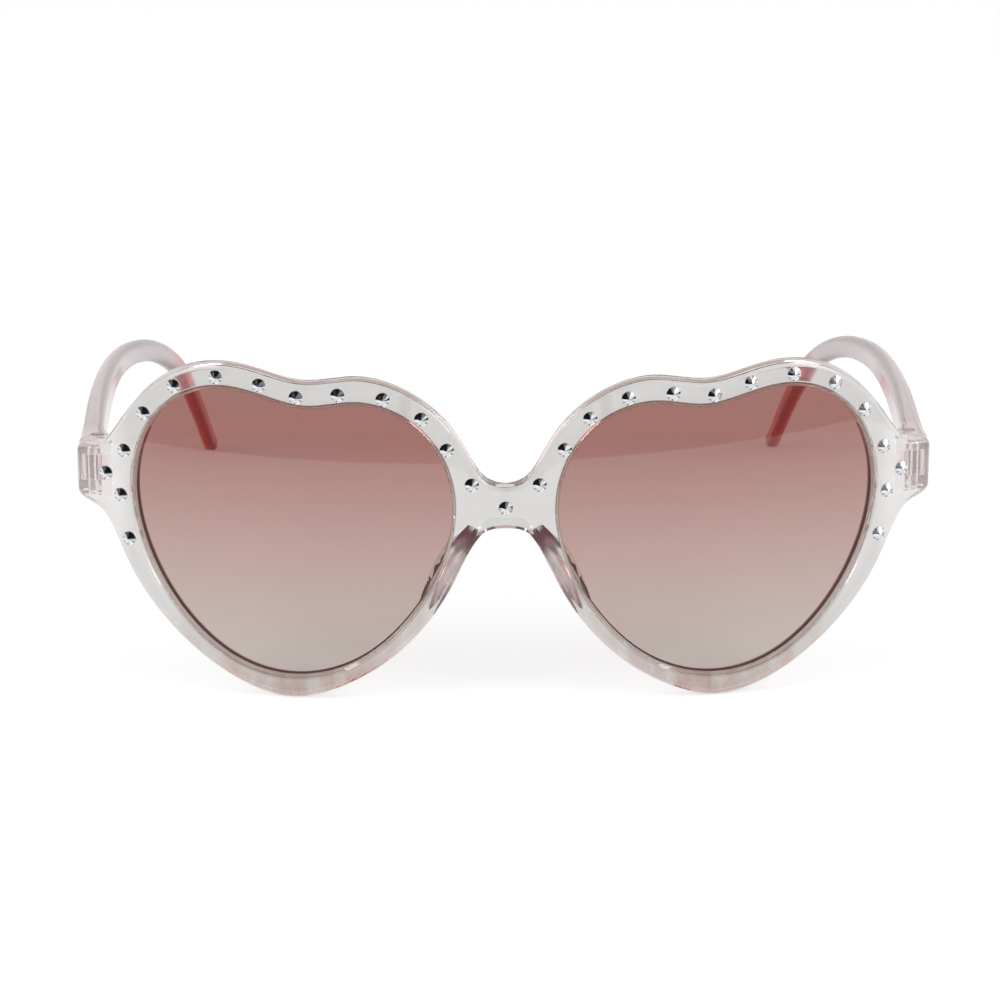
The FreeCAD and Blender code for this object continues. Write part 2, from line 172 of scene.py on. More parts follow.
class FinishSettings(bpy.types.PropertyGroup):
    """Colours and gloss of the glasses' own materials."""
    plastic_tint: FloatVectorProperty(
        name="Plastic Tint", description="Light left by the clear plastic where it is thin",
        subtype="COLOR", default=linear("#EFF6F3"), min=0.0, max=1.0)
    # Painted shade: the darker beige of the lower rims, in streaks, strongest near the table
    plastic_foot_shade_tint: FloatVectorProperty(
        name="Plastic Foot Shade Tint", description="Light left by the darkest streaks in the front's lower rims",
        subtype="COLOR", default=linear("#CFBAB0"), min=0.0, max=1.0)
    plastic_depth_tint: FloatVectorProperty(
        name="Plastic Depth Tint", description="Colour that the clear plastic takes where it is deep",
        subtype="COLOR", default=linear("#E9B9BC"), min=0.0, max=1.0)
    plastic_density: FloatProperty(
        name="Plastic Density", description="How fast the clear plastic takes its depth tint, per metre",
        default=60.0, min=0.0)
    hinge_clearness: FloatProperty(
        name="Hinge Clearness", description="Share of the clear plastic's look left at the hinges",
        default=0.93, min=0.0, max=1.0)
    # Painted glow: emission in the clear plastic of the end pieces and the temples' forks
    hinge_painted_glow: FloatProperty(
        name="Hinge Painted Glow", description="Light that the clear plastic leads into the hinges",
        default=0.07, min=0.0, max=1.0)
    satin_roughness: FloatProperty(
        name="Satin Roughness", description="Roughness that the nose pads have over that of the front",
        default=0.22, min=0.0, max=1.0)
    # Painted colour: the dark red of the lenses as seen through the tops of the nose pads
    pad_top_painted_tint: FloatVectorProperty(
        name="Pad Top Painted Tint", description="Dye of the lenses that shows on top of the nose pads",
        subtype="COLOR", default=linear("#8A2440"), min=0.0, max=1.0)
    # Painted shade: the dark red line on the walls of the openings behind the lenses
    seat_painted_shade: FloatVectorProperty(
        name="Seat Painted Shade", description="Dye left on the walls of the openings behind the lenses",
        subtype="COLOR", default=linear("#4E0710"), min=0.0, max=1.0)
    temple_tint: FloatVectorProperty(
        name="Temple Tint", description="Light left by the temples' clear plastic where it is thin",
        subtype="COLOR", default=linear("#E2DEDE"), min=0.0, max=1.0)
    temple_tip_tint: FloatVectorProperty(
        name="Temple Tip Tint", description="Light left by the temples' clear plastic behind the ear",
        subtype="COLOR", default=linear("#EE0A2A"), min=0.0, max=1.0)
    temple_clearness: FloatProperty(
        name="Temple Clearness", description="Share of the clear plastic's look left in the temples",
        default=0.72, min=0.0, max=1.0)
    lens_crown: FloatVectorProperty(
        name="Lens Crown", description="Dye at the top of the lenses",
        subtype="COLOR", default=linear("#B28079"), min=0.0, max=1.0)
    lens_middle: FloatVectorProperty(
        name="Lens Middle", description="Dye across the middle of the lenses",
        subtype="COLOR", default=linear("#CAAAA2"), min=0.0, max=1.0)
    lens_foot: FloatVectorProperty(
        name="Lens Foot", description="Dye at the bottom of the lenses",
        subtype="COLOR", default=linear("#D5C9C3"), min=0.0, max=1.0)
    lens_edge: FloatVectorProperty(
        name="Lens Edge", description="Dye seen end-on round the lenses",
        subtype="COLOR", default=linear("#D9BDB8"), min=0.0, max=1.0)
    stone_foil: FloatVectorProperty(
        name="Stone Foil", description="Foil behind the rhinestones",
        subtype="COLOR", default=linear("#F6F7F9"), min=0.0, max=1.0)
    stone_cut: FloatProperty(
        name="Stone Cut", description="How far each flat of a stone is raised where it is cut into three",
        subtype="DISTANCE", unit="LENGTH", default=0.01 * MM, min=0.0)
    screw_steel: FloatVectorProperty(
        name="Screw Steel", description="Steel of the hinge screws",
        subtype="COLOR", default=linear("#B5A598"), min=0.0, max=1.0)


class HingeSettings(bpy.types.PropertyGroup):
    """Sizes of the hinge screws' thread and head."""
    thread_pitch: FloatProperty(
        name="Thread Pitch", description="Rise of the thread in one turn",
        subtype="DISTANCE", unit="LENGTH", default=0.5 * MM, min=0.1 * MM)
    thread_depth: FloatProperty(
        name="Thread Depth", description="From the thread's crest to its root",
        subtype="DISTANCE", unit="LENGTH", default=0.14 * MM, min=0.0)
    head_height: FloatProperty(
        name="Head Height", description="Height of the screw's head",
        subtype="DISTANCE", unit="LENGTH", default=0.7 * MM, min=0.1 * MM)
    shank_radius: FloatProperty(
        name="Shank Radius", description="Radius at the thread's crest",
        subtype="DISTANCE", unit="LENGTH", default=0.7 * MM, min=0.1 * MM)
    slot_width: FloatProperty(
        name="Slot Width", description="Width of the driver slot",
        subtype="DISTANCE", unit="LENGTH", default=0.3 * MM, min=0.05 * MM)
    steps: IntProperty(
        name="Steps", description="Steps round one turn", default=28, min=8)


class StudioSettings(bpy.types.PropertyGroup):
    """The camera and the pale table."""
    camera_distance: FloatProperty(
        name="Camera Distance", description="From the bridge to the camera",
        subtype="DISTANCE", unit="LENGTH", default=650 * MM, min=100 * MM)
    camera_height: FloatProperty(
        name="Camera Height", description="Angle of the camera above the table",
        subtype="ANGLE", unit="ROTATION", default=math.radians(18.0))
    camera_turn: FloatProperty(
        name="Camera Turn", description="Angle of the camera to the wearer's right",
        subtype="ANGLE", unit="ROTATION", default=math.radians(1.1))
    focal_pixels: FloatProperty(
        name="Focal Pixels", description="Focal length in pixels of the picture", default=3886.2, min=100.0)
    middle_column: FloatProperty(
        name="Middle Column", description="Picture column of the bridge", default=505.8)
    bridge_level: FloatProperty(
        name="Bridge Level", description="Height at the middle of the picture",
        subtype="DISTANCE", unit="LENGTH", default=36.3 * MM)
    table_radius: FloatProperty(
        name="Table Radius", description="Radius of the round table",
        subtype="DISTANCE", unit="LENGTH", default=410 * MM, min=200 * MM)
    table_front: FloatProperty(
        name="Table Front", description="From the bridge to the table's front edge",
        subtype="DISTANCE", unit="LENGTH", default=135 * MM)
    table_offset: FloatProperty(
        name="Table Offset", description="From the bridge to the table's middle, towards the wearer's left",
        subtype="DISTANCE", unit="LENGTH", default=16 * MM)


# Shared helpers

def add_node(tree, kind, inputs=None, **settings):
    """Adds a node with its settings, and sets or links its inputs."""
    node = tree.nodes.new(kind)
    for name, value in settings.items():
        setattr(node, name, value)
    for socket, value in (inputs or {}).items():
        if isinstance(value, bpy.types.NodeSocket):
            tree.links.new(value, node.inputs[socket])
        else:
            node.inputs[socket].default_value = value
    return node


def new_material(name):
    """An empty material and its node tree."""
    material = bpy.data.materials.new(name)
    material.use_nodes = True
    material.node_tree.nodes.clear()
    return material, material.node_tree


def faint_ripple(tree, wave, height):
    """A normal with a faint ripple: the waves' size and their height, in metres."""
    place = add_node(tree, "ShaderNodeTexCoord").outputs["Object"]
    ripple = add_node(tree, "ShaderNodeTexNoise", {"Vector": place, "Scale": 1 / wave, "Detail": 1.0})
    return add_node(
        tree, "ShaderNodeBump", {"Height": ripple.outputs["Fac"], "Distance": height, "Strength": 1.0},
    ).outputs["Normal"]


def soft_gloss(tree, smear, low, high):
    """A roughness that wanders between two values over smears of a size in metres."""
    place = add_node(tree, "ShaderNodeTexCoord").outputs["Object"]
    smears = add_node(tree, "ShaderNodeTexNoise", {"Vector": place, "Scale": 1 / smear, "Detail": 2.0})
    return add_node(
        tree, "ShaderNodeMapRange", {"Value": smears.outputs["Fac"], "To Min": low, "To Max": high},
    ).outputs["Result"]


def finish_piece(bm, name, materials, body, replaced):
    """Makes the bmesh a piece of the object that stands for a node and rides on its body."""
    mesh = bpy.data.meshes.new(name)
    bm.to_mesh(mesh)
    bm.free()
    piece = bpy.data.objects.new(name, mesh)
    bpy.context.scene.collection.objects.link(piece)
    for material in materials:
        mesh.materials.append(material)
    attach(piece, body)
    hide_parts(replaced)
    return piece


def joined_copy(node, sharp_angle):
    """A bmesh of a node's own shape, its triangles joined, smooth except along its real edges."""
    bm = bmesh.new()
    bm.from_mesh(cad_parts[node].data)
    for layer in list(bm.loops.layers.float_vector.values()):
        bm.loops.layers.float_vector.remove(layer)
    bmesh.ops.remove_doubles(bm, verts=bm.verts, dist=MERGE_DISTANCE)
    for face in bm.faces:
        face.smooth = True
        face.material_index = 0
    for edge in bm.edges:
        edge.smooth = edge.calc_face_angle(0.0) < sharp_angle
    return bm


def weigh_normals(piece):
    """Lets the large faces set the shading, so that flats stay flat beside small rounded edges."""
    weigh = piece.modifiers.new("Weighted Normal", "WEIGHTED_NORMAL")
    weigh.mode = "FACE_AREA"
    weigh.weight = 80
    weigh.keep_sharp = True


# Materials

def along_axis(tree, axis, span, values=(0.0, 1.0), both_ways=False):
    """A value that goes from one to another over a span of an axis, or of both its halves."""
    place = add_node(tree, "ShaderNodeTexCoord").outputs["Object"]
    level = add_node(tree, "ShaderNodeSeparateXYZ", {"Vector": place}).outputs[axis]
    if both_ways:
        level = add_node(tree, "ShaderNodeMath", {0: level}, operation="ABSOLUTE").outputs[0]
    return add_node(tree, "ShaderNodeMapRange", {
        "Value": level, "From Min": span[0], "From Max": span[1], "To Min": values[0], "To Max": values[1],
    }).outputs["Result"]


def lower_rim_painted_shade(tree):
    """The strength of the painted shade, in streaks across the lower rims from the heart tips to the nose
    pads, strongest low down.
    """
    beside_nose = add_node(tree, "ShaderNodeMath", {
        0: along_axis(tree, "X", NOSE_RIMS, (0.4, 0.0), True),
        1: along_axis(tree, "Z", NOSE_STREAKS, (1.0, 0.0))}, operation="MULTIPLY").outputs[0]
    low = add_node(tree, "ShaderNodeMath", {
        0: along_axis(tree, "Z", TIP_STREAKS, (1.0, 0.0)), 1: beside_nose}, operation="MAXIMUM").outputs[0]
    place = add_node(tree, "ShaderNodeTexCoord").outputs["Object"]
    drawn = add_node(tree, "ShaderNodeVectorMath", {
        0: place, 1: (1 / STREAK_WIDTH, 0.0, 1 / STREAK_LENGTH)}, operation="MULTIPLY").outputs["Vector"]
    noise = add_node(tree, "ShaderNodeTexNoise", {"Vector": drawn, "Scale": 1.0, "Detail": 3.0})
    streaks = add_node(tree, "ShaderNodeMapRange", {
        "Value": noise.outputs["Fac"], "From Min": 0.3, "From Max": 0.7, "To Min": 0.2}).outputs["Result"]
    return add_node(tree, "ShaderNodeMath", {0: low, 1: streaks}, operation="MULTIPLY").outputs[0]


def clear_plastic(tree, finish, tint, roughness, clearness, glow):
    """The surface and the volume of clear moulded plastic, with a faint flow ripple in its polish."""
    plastic = add_node(tree, "ShaderNodeBsdfPrincipled", {
        "Base Color": tint,
        "Roughness": roughness,
        "IOR": POLYCARBONATE_IOR,
        "Transmission Weight": clearness,
        # The emission is a painted glow, where glow is above nought
        "Emission Color": WHITE,
        "Emission Strength": glow,
        "Normal": faint_ripple(tree, 5 * MM, 0.002 * MM),
    })
    depth = add_node(tree, "ShaderNodeVolumeAbsorption", {
        "Color": opaque(finish.plastic_depth_tint), "Density": finish.plastic_density})
    return plastic.outputs["BSDF"], depth.outputs["Volume"]


def front_polycarbonate(finish, bridge_depth):
    """Clear polycarbonate from a polished mould, with satin nose pads."""
    # Nearly clear where it is thin, pinker along its edges where one looks deep into it, with painted shade
    # in beige streaks in the lower rims, slightly milky end pieces with a painted glow, and nose pads
    # whose tops are painted with the dark red of the lenses seen through them.
    material, tree = new_material("Moulded polycarbonate front")
    pads = add_node(tree, "ShaderNodeMath", {
        0: along_axis(tree, "X", PAD_REACH, (1.0, 0.0), True),
        1: along_axis(tree, "Y", [bridge_depth + depth for depth in PAD_DEPTHS]),
    }, operation="MULTIPLY").outputs[0]
    roughness = add_node(tree, "ShaderNodeMath", {
        0: pads, 1: finish.satin_roughness, 2: soft_gloss(tree, 7 * MM, 0.02, 0.05),
    }, operation="MULTIPLY_ADD").outputs[0]
    tint = add_node(tree, "ShaderNodeMix", {
        "Factor": lower_rim_painted_shade(tree),
        "A": opaque(finish.plastic_tint), "B": opaque(finish.plastic_foot_shade_tint),
    }, data_type="RGBA").outputs["Result"]
    clearness = along_axis(tree, "X", END_PIECES, (1.0, finish.hinge_clearness), True)
    # Painted glow in the end pieces
    glow = along_axis(tree, "X", END_PIECES, (0.0, finish.hinge_painted_glow), True)
    surface, volume = clear_plastic(tree, finish, tint, roughness, clearness, glow)
    # Painted: the lenses' dark red seen through the pad tops, on a dull opaque surface
    painted_lens_red = add_node(tree, "ShaderNodeBsdfPrincipled", {
        "Base Color": opaque(finish.pad_top_painted_tint), "Roughness": 0.5, "Specular IOR Level": 0.0})
    tops = add_node(tree, "ShaderNodeMath", {
        0: pads, 1: along_axis(tree, "Z", PAD_TOPS, (0.0, 0.95))}, operation="MULTIPLY")
    both = add_node(tree, "ShaderNodeMixShader", {
        0: tops.outputs[0], 1: surface, 2: painted_lens_red.outputs["BSDF"]})
    add_node(tree, "ShaderNodeOutputMaterial", {"Surface": both.outputs[0], "Volume": volume})
    return material


def temple_polycarbonate(finish, hinge_end, tip_end):
    """Clear polycarbonate from a less polished mould, dyed red behind the ear."""
    # Clear at the fork, then slightly hazy and pinkish grey, turning red down the tip.
    material, tree = new_material("Moulded polycarbonate temple")
    dye_span = [hinge_end + share * (tip_end - hinge_end) for share in TIP_DYE_SHARES]
    tint = add_node(tree, "ShaderNodeMix", {
        "Factor": along_axis(tree, "Y", dye_span),
        "A": opaque(finish.temple_tint), "B": opaque(finish.temple_tip_tint),
    }, data_type="RGBA").outputs["Result"]
    fork_end = hinge_end + FORK_LENGTH
    clearness = along_axis(tree, "Y", (fork_end, fork_end + HAZE_LENGTH), (1.0, finish.temple_clearness))
    # Painted glow at the fork, fading behind it
    glow = along_axis(tree, "Y", (fork_end, fork_end + GLOW_LENGTH), (finish.hinge_painted_glow, 0.0))
    surface, volume = clear_plastic(
        tree, finish, tint, soft_gloss(tree, 7 * MM, 0.08, 0.16), clearness, glow)
    add_node(tree, "ShaderNodeOutputMaterial", {"Surface": surface, "Volume": volume})
    return material


def dyed_acrylic(finish, low, high):
    """Polished acrylic, dipped in a rose-brown dye from its top edge."""
    # Dark at the brow and paler towards the cheek, mirror smooth, with a faint waviness.
    material, tree = new_material("Dyed acrylic lens")
    dye = add_node(tree, "ShaderNodeValToRGB", {"Fac": along_axis(tree, "Z", (low, high))})
    stops = dye.color_ramp.elements
    stops[0].position = LENS_FOOT_SHARE
    stops[0].color = opaque(finish.lens_foot)
    stops[1].position = LENS_CROWN_SHARE
    stops[1].color = opaque(finish.lens_crown)
    stops.new(LENS_MIDDLE_SHARE).color = opaque(finish.lens_middle)
    lens = add_node(tree, "ShaderNodeBsdfPrincipled", {
        "Base Color": dye.outputs["Color"],
        "Roughness": soft_gloss(tree, 9 * MM, 0.01, 0.03),
        "IOR": ACRYLIC_IOR,
        "Transmission Weight": 1.0,
        "Normal": faint_ripple(tree, 12 * MM, 0.002 * MM),
    })
    add_node(tree, "ShaderNodeOutputMaterial", {"Surface": lens.outputs["BSDF"]})
    return material


def dyed_edge(finish):
    """The milled edge of a dyed lens."""
    # A pale rose line that shows through the bevels, with fine cutter marks;
    # over the brow the light from above washes it out.
    material, tree = new_material("Dyed acrylic edge")
    dye = add_node(tree, "ShaderNodeMix", {
        "Factor": along_axis(tree, "Z", SEAT_TOP),
        "A": opaque(finish.lens_edge), "B": opaque(linear("#E6D2CE")),
    }, data_type="RGBA")
    edge = add_node(tree, "ShaderNodeBsdfPrincipled", {
        "Base Color": dye.outputs["Result"],
        "Roughness": soft_gloss(tree, 1 * MM, 0.15, 0.35),
        "IOR": ACRYLIC_IOR,
        "Transmission Weight": 1.0,
        "Normal": faint_ripple(tree, 0.4 * MM, 0.01 * MM),
    })
    add_node(tree, "ShaderNodeOutputMaterial", {"Surface": edge.outputs["BSDF"]})
    return material


def painted_shade_seat(finish, bridge_depth):
    """The walls of the openings just behind the lenses, with painted shade and a painted glow."""
    # A painted dark red shade line round the lenses where one sees it through them, slightly blotchy, paler
    # further back and towards the brow. It glows with painted light, and from inside the plastic it is
    # painted as pale as what one sees through that.
    material, tree = new_material("Painted shade lens seat")
    place = add_node(tree, "ShaderNodeTexCoord").outputs["Object"]
    from_axis = add_node(tree, "ShaderNodeVectorMath", {
        0: place, 1: (0.0, bridge_depth + WRAP_RADIUS, 0.0)}, operation="SUBTRACT").outputs["Vector"]
    level = add_node(tree, "ShaderNodeVectorMath", {
        0: from_axis, 1: (1.0, 1.0, 0.0)}, operation="MULTIPLY").outputs["Vector"]
    radius = add_node(tree, "ShaderNodeVectorMath", {0: level}, operation="LENGTH").outputs["Value"]
    behind = add_node(tree, "ShaderNodeMapRange", {
        "Value": radius,
        "From Min": WRAP_RADIUS - SHADE_DEPTHS[0], "From Max": WRAP_RADIUS - SHADE_DEPTHS[1]})
    far_back = add_node(tree, "ShaderNodeMath", {
        0: behind.outputs["Result"], 1: along_axis(tree, "X", NOSE_WALLS, both_ways=True),
    }, operation="MULTIPLY").outputs[0]
    pale = add_node(tree, "ShaderNodeMath", {
        0: far_back, 1: along_axis(tree, "Z", SEAT_TOP)}, operation="MAXIMUM").outputs[0]
    blots = add_node(tree, "ShaderNodeTexNoise", {"Vector": place, "Scale": 1 / (2 * MM), "Detail": 2.0})
    painted_shade_tone = add_node(tree, "ShaderNodeMix", {
        "Factor": blots.outputs["Fac"], "A": opaque(linear("#2A0308")), "B": opaque(finish.seat_painted_shade),
    }, data_type="RGBA")
    outside = add_node(tree, "ShaderNodeMix", {
        "Factor": pale, "A": painted_shade_tone.outputs["Result"], "B": opaque(linear("#96807B")),
    }, data_type="RGBA")
    tint = add_node(tree, "ShaderNodeMix", {
        "Factor": add_node(tree, "ShaderNodeNewGeometry").outputs["Backfacing"],
        "A": outside.outputs["Result"], "B": opaque(linear("#E4D6D2")),
    }, data_type="RGBA")
    wall = add_node(tree, "ShaderNodeBsdfPrincipled", {
        "Base Color": tint.outputs["Result"],
        "Roughness": soft_gloss(tree, 1 * MM, 0.3, 0.5),
        "Specular IOR Level": 0.0,
        # Painted glow: the walls get no light through the lenses, so they shine in their own painted colour
        "Emission Color": tint.outputs["Result"],
        "Emission Strength": 0.8,
    })
    add_node(tree, "ShaderNodeOutputMaterial", {"Surface": wall.outputs["BSDF"]})
    return material


def foiled_acrylic(finish):
    """Faceted acrylic with silver foil behind it."""
    # Each flat mirrors a piece of the room, white beside nearly black, and some flats are painted dimmer
    # than their neighbours as painted reflections of the room's dark parts; slightly uneven as pressed foil
    # is.
    material, tree = new_material("Foiled acrylic stone")
    place = add_node(tree, "ShaderNodeTexCoord").outputs["Object"]
    patches = add_node(tree, "ShaderNodeTexNoise", {
        "Vector": place, "Scale": 1 / (1.1 * MM), "Detail": 1.0})
    foil = add_node(tree, "ShaderNodeMix", {
        "Factor": patches.outputs["Fac"], "A": opaque(linear("#DCDDE1")), "B": opaque(finish.stone_foil),
    }, data_type="RGBA")
    tone = add_node(tree, "ShaderNodeAttribute", attribute_name="flat_painted_tone").outputs["Fac"]
    flats = add_node(tree, "ShaderNodeMix", {
        "Factor": tone, "A": opaque(linear("#3C3C42")), "B": foil.outputs["Result"],
    }, data_type="RGBA")
    stone = add_node(tree, "ShaderNodeBsdfPrincipled", {
        "Base Color": flats.outputs["Result"],
        "Metallic": 1.0,
        "Roughness": soft_gloss(tree, 1.5 * MM, 0.04, 0.12),
    })
    add_node(tree, "ShaderNodeOutputMaterial", {"Surface": stone.outputs["BSDF"]})
    return material


def plain_steel(finish):
    """Turned carbon steel, lightly oiled."""
    # A warm grey metal with soft highlights along its thread.
    material, tree = new_material("Oiled steel screw")
    steel = add_node(tree, "ShaderNodeBsdfPrincipled", {
        "Base Color": opaque(finish.screw_steel),
        "Metallic": 1.0,
        "Roughness": soft_gloss(tree, 0.5 * MM, 0.25, 0.45),
    })
    add_node(tree, "ShaderNodeOutputMaterial", {"Surface": steel.outputs["BSDF"]})
    return material


# Pieces

def on_lens_seat(face, bridge_depth, middle):
    """Whether a face of the front is on the wall of an opening, behind the lens."""
    spot = face.calc_center_median()
    towards_axis = Vector((-spot.x, bridge_depth + WRAP_RADIUS - spot.y, 0.0))
    depth = WRAP_RADIUS - towards_axis.length
    inwards = Vector((middle.x * math.copysign(1.0, spot.x) - spot.x, 0.0, middle.z - spot.z))
    if spot.z > SEAT_TOP[1] or inwards.length > middle.x:
        return False
    if not SEAT_DEPTHS[0] < depth < SEAT_DEPTHS[1]:
        return False
    runs_back = abs(face.normal.dot(towards_axis.normalized())) < WALL_LEAN_SHARE
    return runs_back and face.normal.dot(inwards.normalized()) > WALL_INWARD_SHARE


class SUNGLASSES_OT_front(bpy.types.Operator):
    """Make the clear moulded front with its rims, bridge, nose pads and end pieces"""
    bl_idname = "sunglasses.front"
    bl_label = "Front"

    def execute(self, context):
        finish = context.scene.sunglasses_finish
        bridge_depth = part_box("front_frame")[0].y
        plastic = front_polycarbonate(finish, bridge_depth)
        low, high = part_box("left_lens")
        bm = joined_copy("front_frame", SHARP_ANGLE)
        for face in bm.faces:
            # The walls of the openings behind the lenses take the painted shade material
            face.material_index = int(on_lens_seat(face, bridge_depth, (low + high) / 2))
        piece = finish_piece(
            bm, "clear_front", [plastic, painted_shade_seat(finish, bridge_depth)],
            "front", "front_frame")
        weigh_normals(piece)
        return {"FINISHED"}


class SUNGLASSES_OT_lenses(bpy.types.Operator):
    """Make the two dyed lenses with their paler edges"""
    bl_idname = "sunglasses.lenses"
    bl_label = "Lenses"

    def execute(self, context):
        finish = context.scene.sunglasses_finish
        low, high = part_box("left_lens")
        face_material = dyed_acrylic(finish, low.z, high.z)
        edge_material = dyed_edge(finish)
        for side in SIDES:
            bm = joined_copy(f"{side}_lens", SHARP_ANGLE)
            for face in bm.faces:
                face.material_index = 0 if abs(face.normal.y) > LENS_FACE_SHARE else 1
            piece = finish_piece(
                bm, f"{side}_dyed_lens", [face_material, edge_material],
                "front", f"{side}_lens")
            weigh_normals(piece)
        return {"FINISHED"}


class SUNGLASSES_OT_temples(bpy.types.Operator):
    """Make the two clear temples with their forked hinge ends"""
    bl_idname = "sunglasses.temples"
    bl_label = "Temples"

    def execute(self, context):
        finish = context.scene.sunglasses_finish
        low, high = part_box("left_temple")
        plastic = temple_polycarbonate(finish, low.y, high.y)
        for side in SIDES:
            piece = finish_piece(
                joined_copy(f"{side}_temple", SHARP_ANGLE), f"{side}_clear_temple", [plastic],
                f"{side}_temple_arm", f"{side}_temple")
            weigh_normals(piece)
        return {"FINISHED"}


def thread_shank(bm, hinge, axis_foot, axis_head):
    """Winds one thread profile up the shank, from its foot to the underside of the head."""
    turns = math.ceil((axis_head.z - axis_foot.z) / hinge.thread_pitch)
    rise = (axis_head.z - axis_foot.z) / turns
    crest = hinge.shank_radius
    root = crest - hinge.thread_depth
    profile = [(root, 0.0), (root, 0.2), (crest, 0.5), (crest, 0.62), (root, 0.92), (root, 1.0)]
    spots = []
    for radius, share in profile:
        spots.append(bm.verts.new(axis_foot + Vector((radius, 0.0, (share - 1.0) * rise))))
    line = [bm.edges.new(pair) for pair in zip(spots, spots[1:])]
    bmesh.ops.spin(
        bm, geom=spots + line, cent=axis_foot, axis=(0.0, 0.0, 1.0), angle=2 * math.pi * (turns + 1),
        dvec=(0.0, 0.0, rise / hinge.steps), steps=hinge.steps * (turns + 1), use_merge=False)
    bmesh.ops.remove_doubles(bm, verts=bm.verts, dist=THREAD_MERGE_DISTANCE)
    for level, outwards in ((axis_foot, -1.0), (axis_head, 1.0)):
        bmesh.ops.bisect_plane(
            bm, geom=bm.verts[:] + bm.edges[:] + bm.faces[:], plane_co=level,
            plane_no=(0.0, 0.0, outwards), clear_outer=True)
    bmesh.ops.holes_fill(bm, edges=[edge for edge in bm.edges if edge.is_boundary])


def slotted_head(bm, hinge, axis_head, radius):
    """Sets the slotted head on the shank: a disc and the two raised halves beside the driver slot."""
    slot_floor = hinge.head_height * SLOT_FLOOR_SHARE
    halves = [(offset, slot_floor, hinge.head_height) for offset in (1.0, -1.0)]
    for offset, foot, top_level in [(0.0, 0.0, slot_floor), *halves]:
        part = bmesh.new()
        bmesh.ops.create_circle(part, cap_ends=True, radius=radius, segments=hinge.steps)
        if offset:
            bmesh.ops.bisect_plane(
                part, geom=part.verts[:] + part.edges[:] + part.faces[:],
                plane_co=(0.0, offset * hinge.slot_width / 2, 0.0), plane_no=(0.0, -offset, 0.0),
                clear_outer=True)
        top = bmesh.ops.extrude_face_region(part, geom=part.faces[:])["geom"]
        corners = [item for item in top if isinstance(item, bmesh.types.BMVert)]
        bmesh.ops.translate(part, verts=corners, vec=(0.0, 0.0, top_level - foot))
        rim = [edge for edge in part.edges if all(vert in corners for vert in edge.verts)]
        if offset:
            bmesh.ops.bevel(
                part, geom=rim, offset=HEAD_BEVEL, segments=2, profile=0.5, affect="EDGES", material=-1)
        bmesh.ops.recalc_face_normals(part, faces=part.faces)
        bmesh.ops.translate(part, verts=part.verts, vec=axis_head + Vector((0.0, 0.0, foot)))
        joined = bpy.data.meshes.new("screw_head_part")
        part.to_mesh(joined)
        part.free()
        bm.from_mesh(joined)
        bpy.data.meshes.remove(joined)


class SUNGLASSES_OT_hinge_screws(bpy.types.Operator):
    """Make the two threaded hinge screws that show through the clear end pieces"""
    bl_idname = "sunglasses.hinge_screws"
    bl_label = "Hinge Screws"

    def execute(self, context):
        hinge = context.scene.sunglasses_hinge
        steel = plain_steel(context.scene.sunglasses_finish)
        for side in SIDES:
            low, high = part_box(f"{side}_hinge_screw")
            middle = (low + high) / 2
            foot = Vector((middle.x, middle.y, low.z))
            head = Vector((middle.x, middle.y, high.z - hinge.head_height))
            bm = bmesh.new()
            thread_shank(bm, hinge, foot, head)
            bmesh.ops.recalc_face_normals(bm, faces=bm.faces)
            slotted_head(bm, hinge, head, (high.x - low.x) / 2)
            for face in bm.faces:
                face.smooth = True
            for edge in bm.edges:
                edge.smooth = edge.calc_face_angle(0.0) < SCREW_SHARP_ANGLE
            finish_piece(
                bm, f"{side}_threaded_screw", [steel],
                f"{side}_temple_arm", f"{side}_hinge_screw")
        return {"FINISHED"}


class SUNGLASSES_OT_rhinestones(bpy.types.Operator):
    """Make the foiled stones, each flat of the crown cut again into three"""
    bl_idname = "sunglasses.rhinestones"
    bl_label = "Rhinestones"

    def execute(self, context):
        finish = context.scene.sunglasses_finish
        foil = foiled_acrylic(finish)
        for name in sorted(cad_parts):
            if not name.startswith("rhinestone"):
                continue
            bm = joined_copy(name, 0.0)
            tone = bm.faces.layers.float.new("flat_painted_tone")
            point = min(bm.verts, key=lambda vert: vert.co.y)
            flats = bmesh.ops.poke(bm, faces=point.link_faces[:], offset=finish.stone_cut)["faces"]
            for face in bm.faces:
                face.smooth = False
                face[tone] = 1.0
            # Painted reflections: the flats take the painted tones in turn
            for count, face in enumerate(flats):
                face[tone] = STONE_PAINTED_TONES[count % len(STONE_PAINTED_TONES)]
            finish_piece(bm, name.replace("rhinestone", "foiled_stone"), [foil], "front", name)
        return {"FINISHED"}


# The stage

def shown_level(tree, level, seen_through):
    """A strength for what camera and mirror rays show, and for what is seen through the clear plastic."""
    path = add_node(tree, "ShaderNodeLightPath")
    shown = add_node(tree, "ShaderNodeMath", {
        0: path.outputs["Is Camera Ray"], 1: path.outputs["Is Glossy Ray"]}, operation="MAXIMUM").outputs[0]
    bright = add_node(tree, "ShaderNodeMath", {0: shown, 1: level}, operation="MULTIPLY").outputs[0]
    return add_node(tree, "ShaderNodeMix", {
        "Factor": path.outputs["Is Transmission Ray"], "A": bright, "B": seen_through}).outputs["Result"]


def pale_table():
    """White card on a round table."""
    # White with the faint soft shadow of clear plastic.
    material, tree = new_material("White card table")
    card = add_node(tree, "ShaderNodeBsdfDiffuse", {"Color": opaque(linear("#B4B4B4"))})
    glow = add_node(tree, "ShaderNodeEmission", {
        "Color": WHITE, "Strength": shown_level(tree, *TABLE_LEVELS)})
    both = add_node(tree, "ShaderNodeAddShader", {0: card.outputs[0], 1: glow.outputs[0]})
    add_node(tree, "ShaderNodeOutputMaterial", {"Surface": both.outputs[0]})
    return material


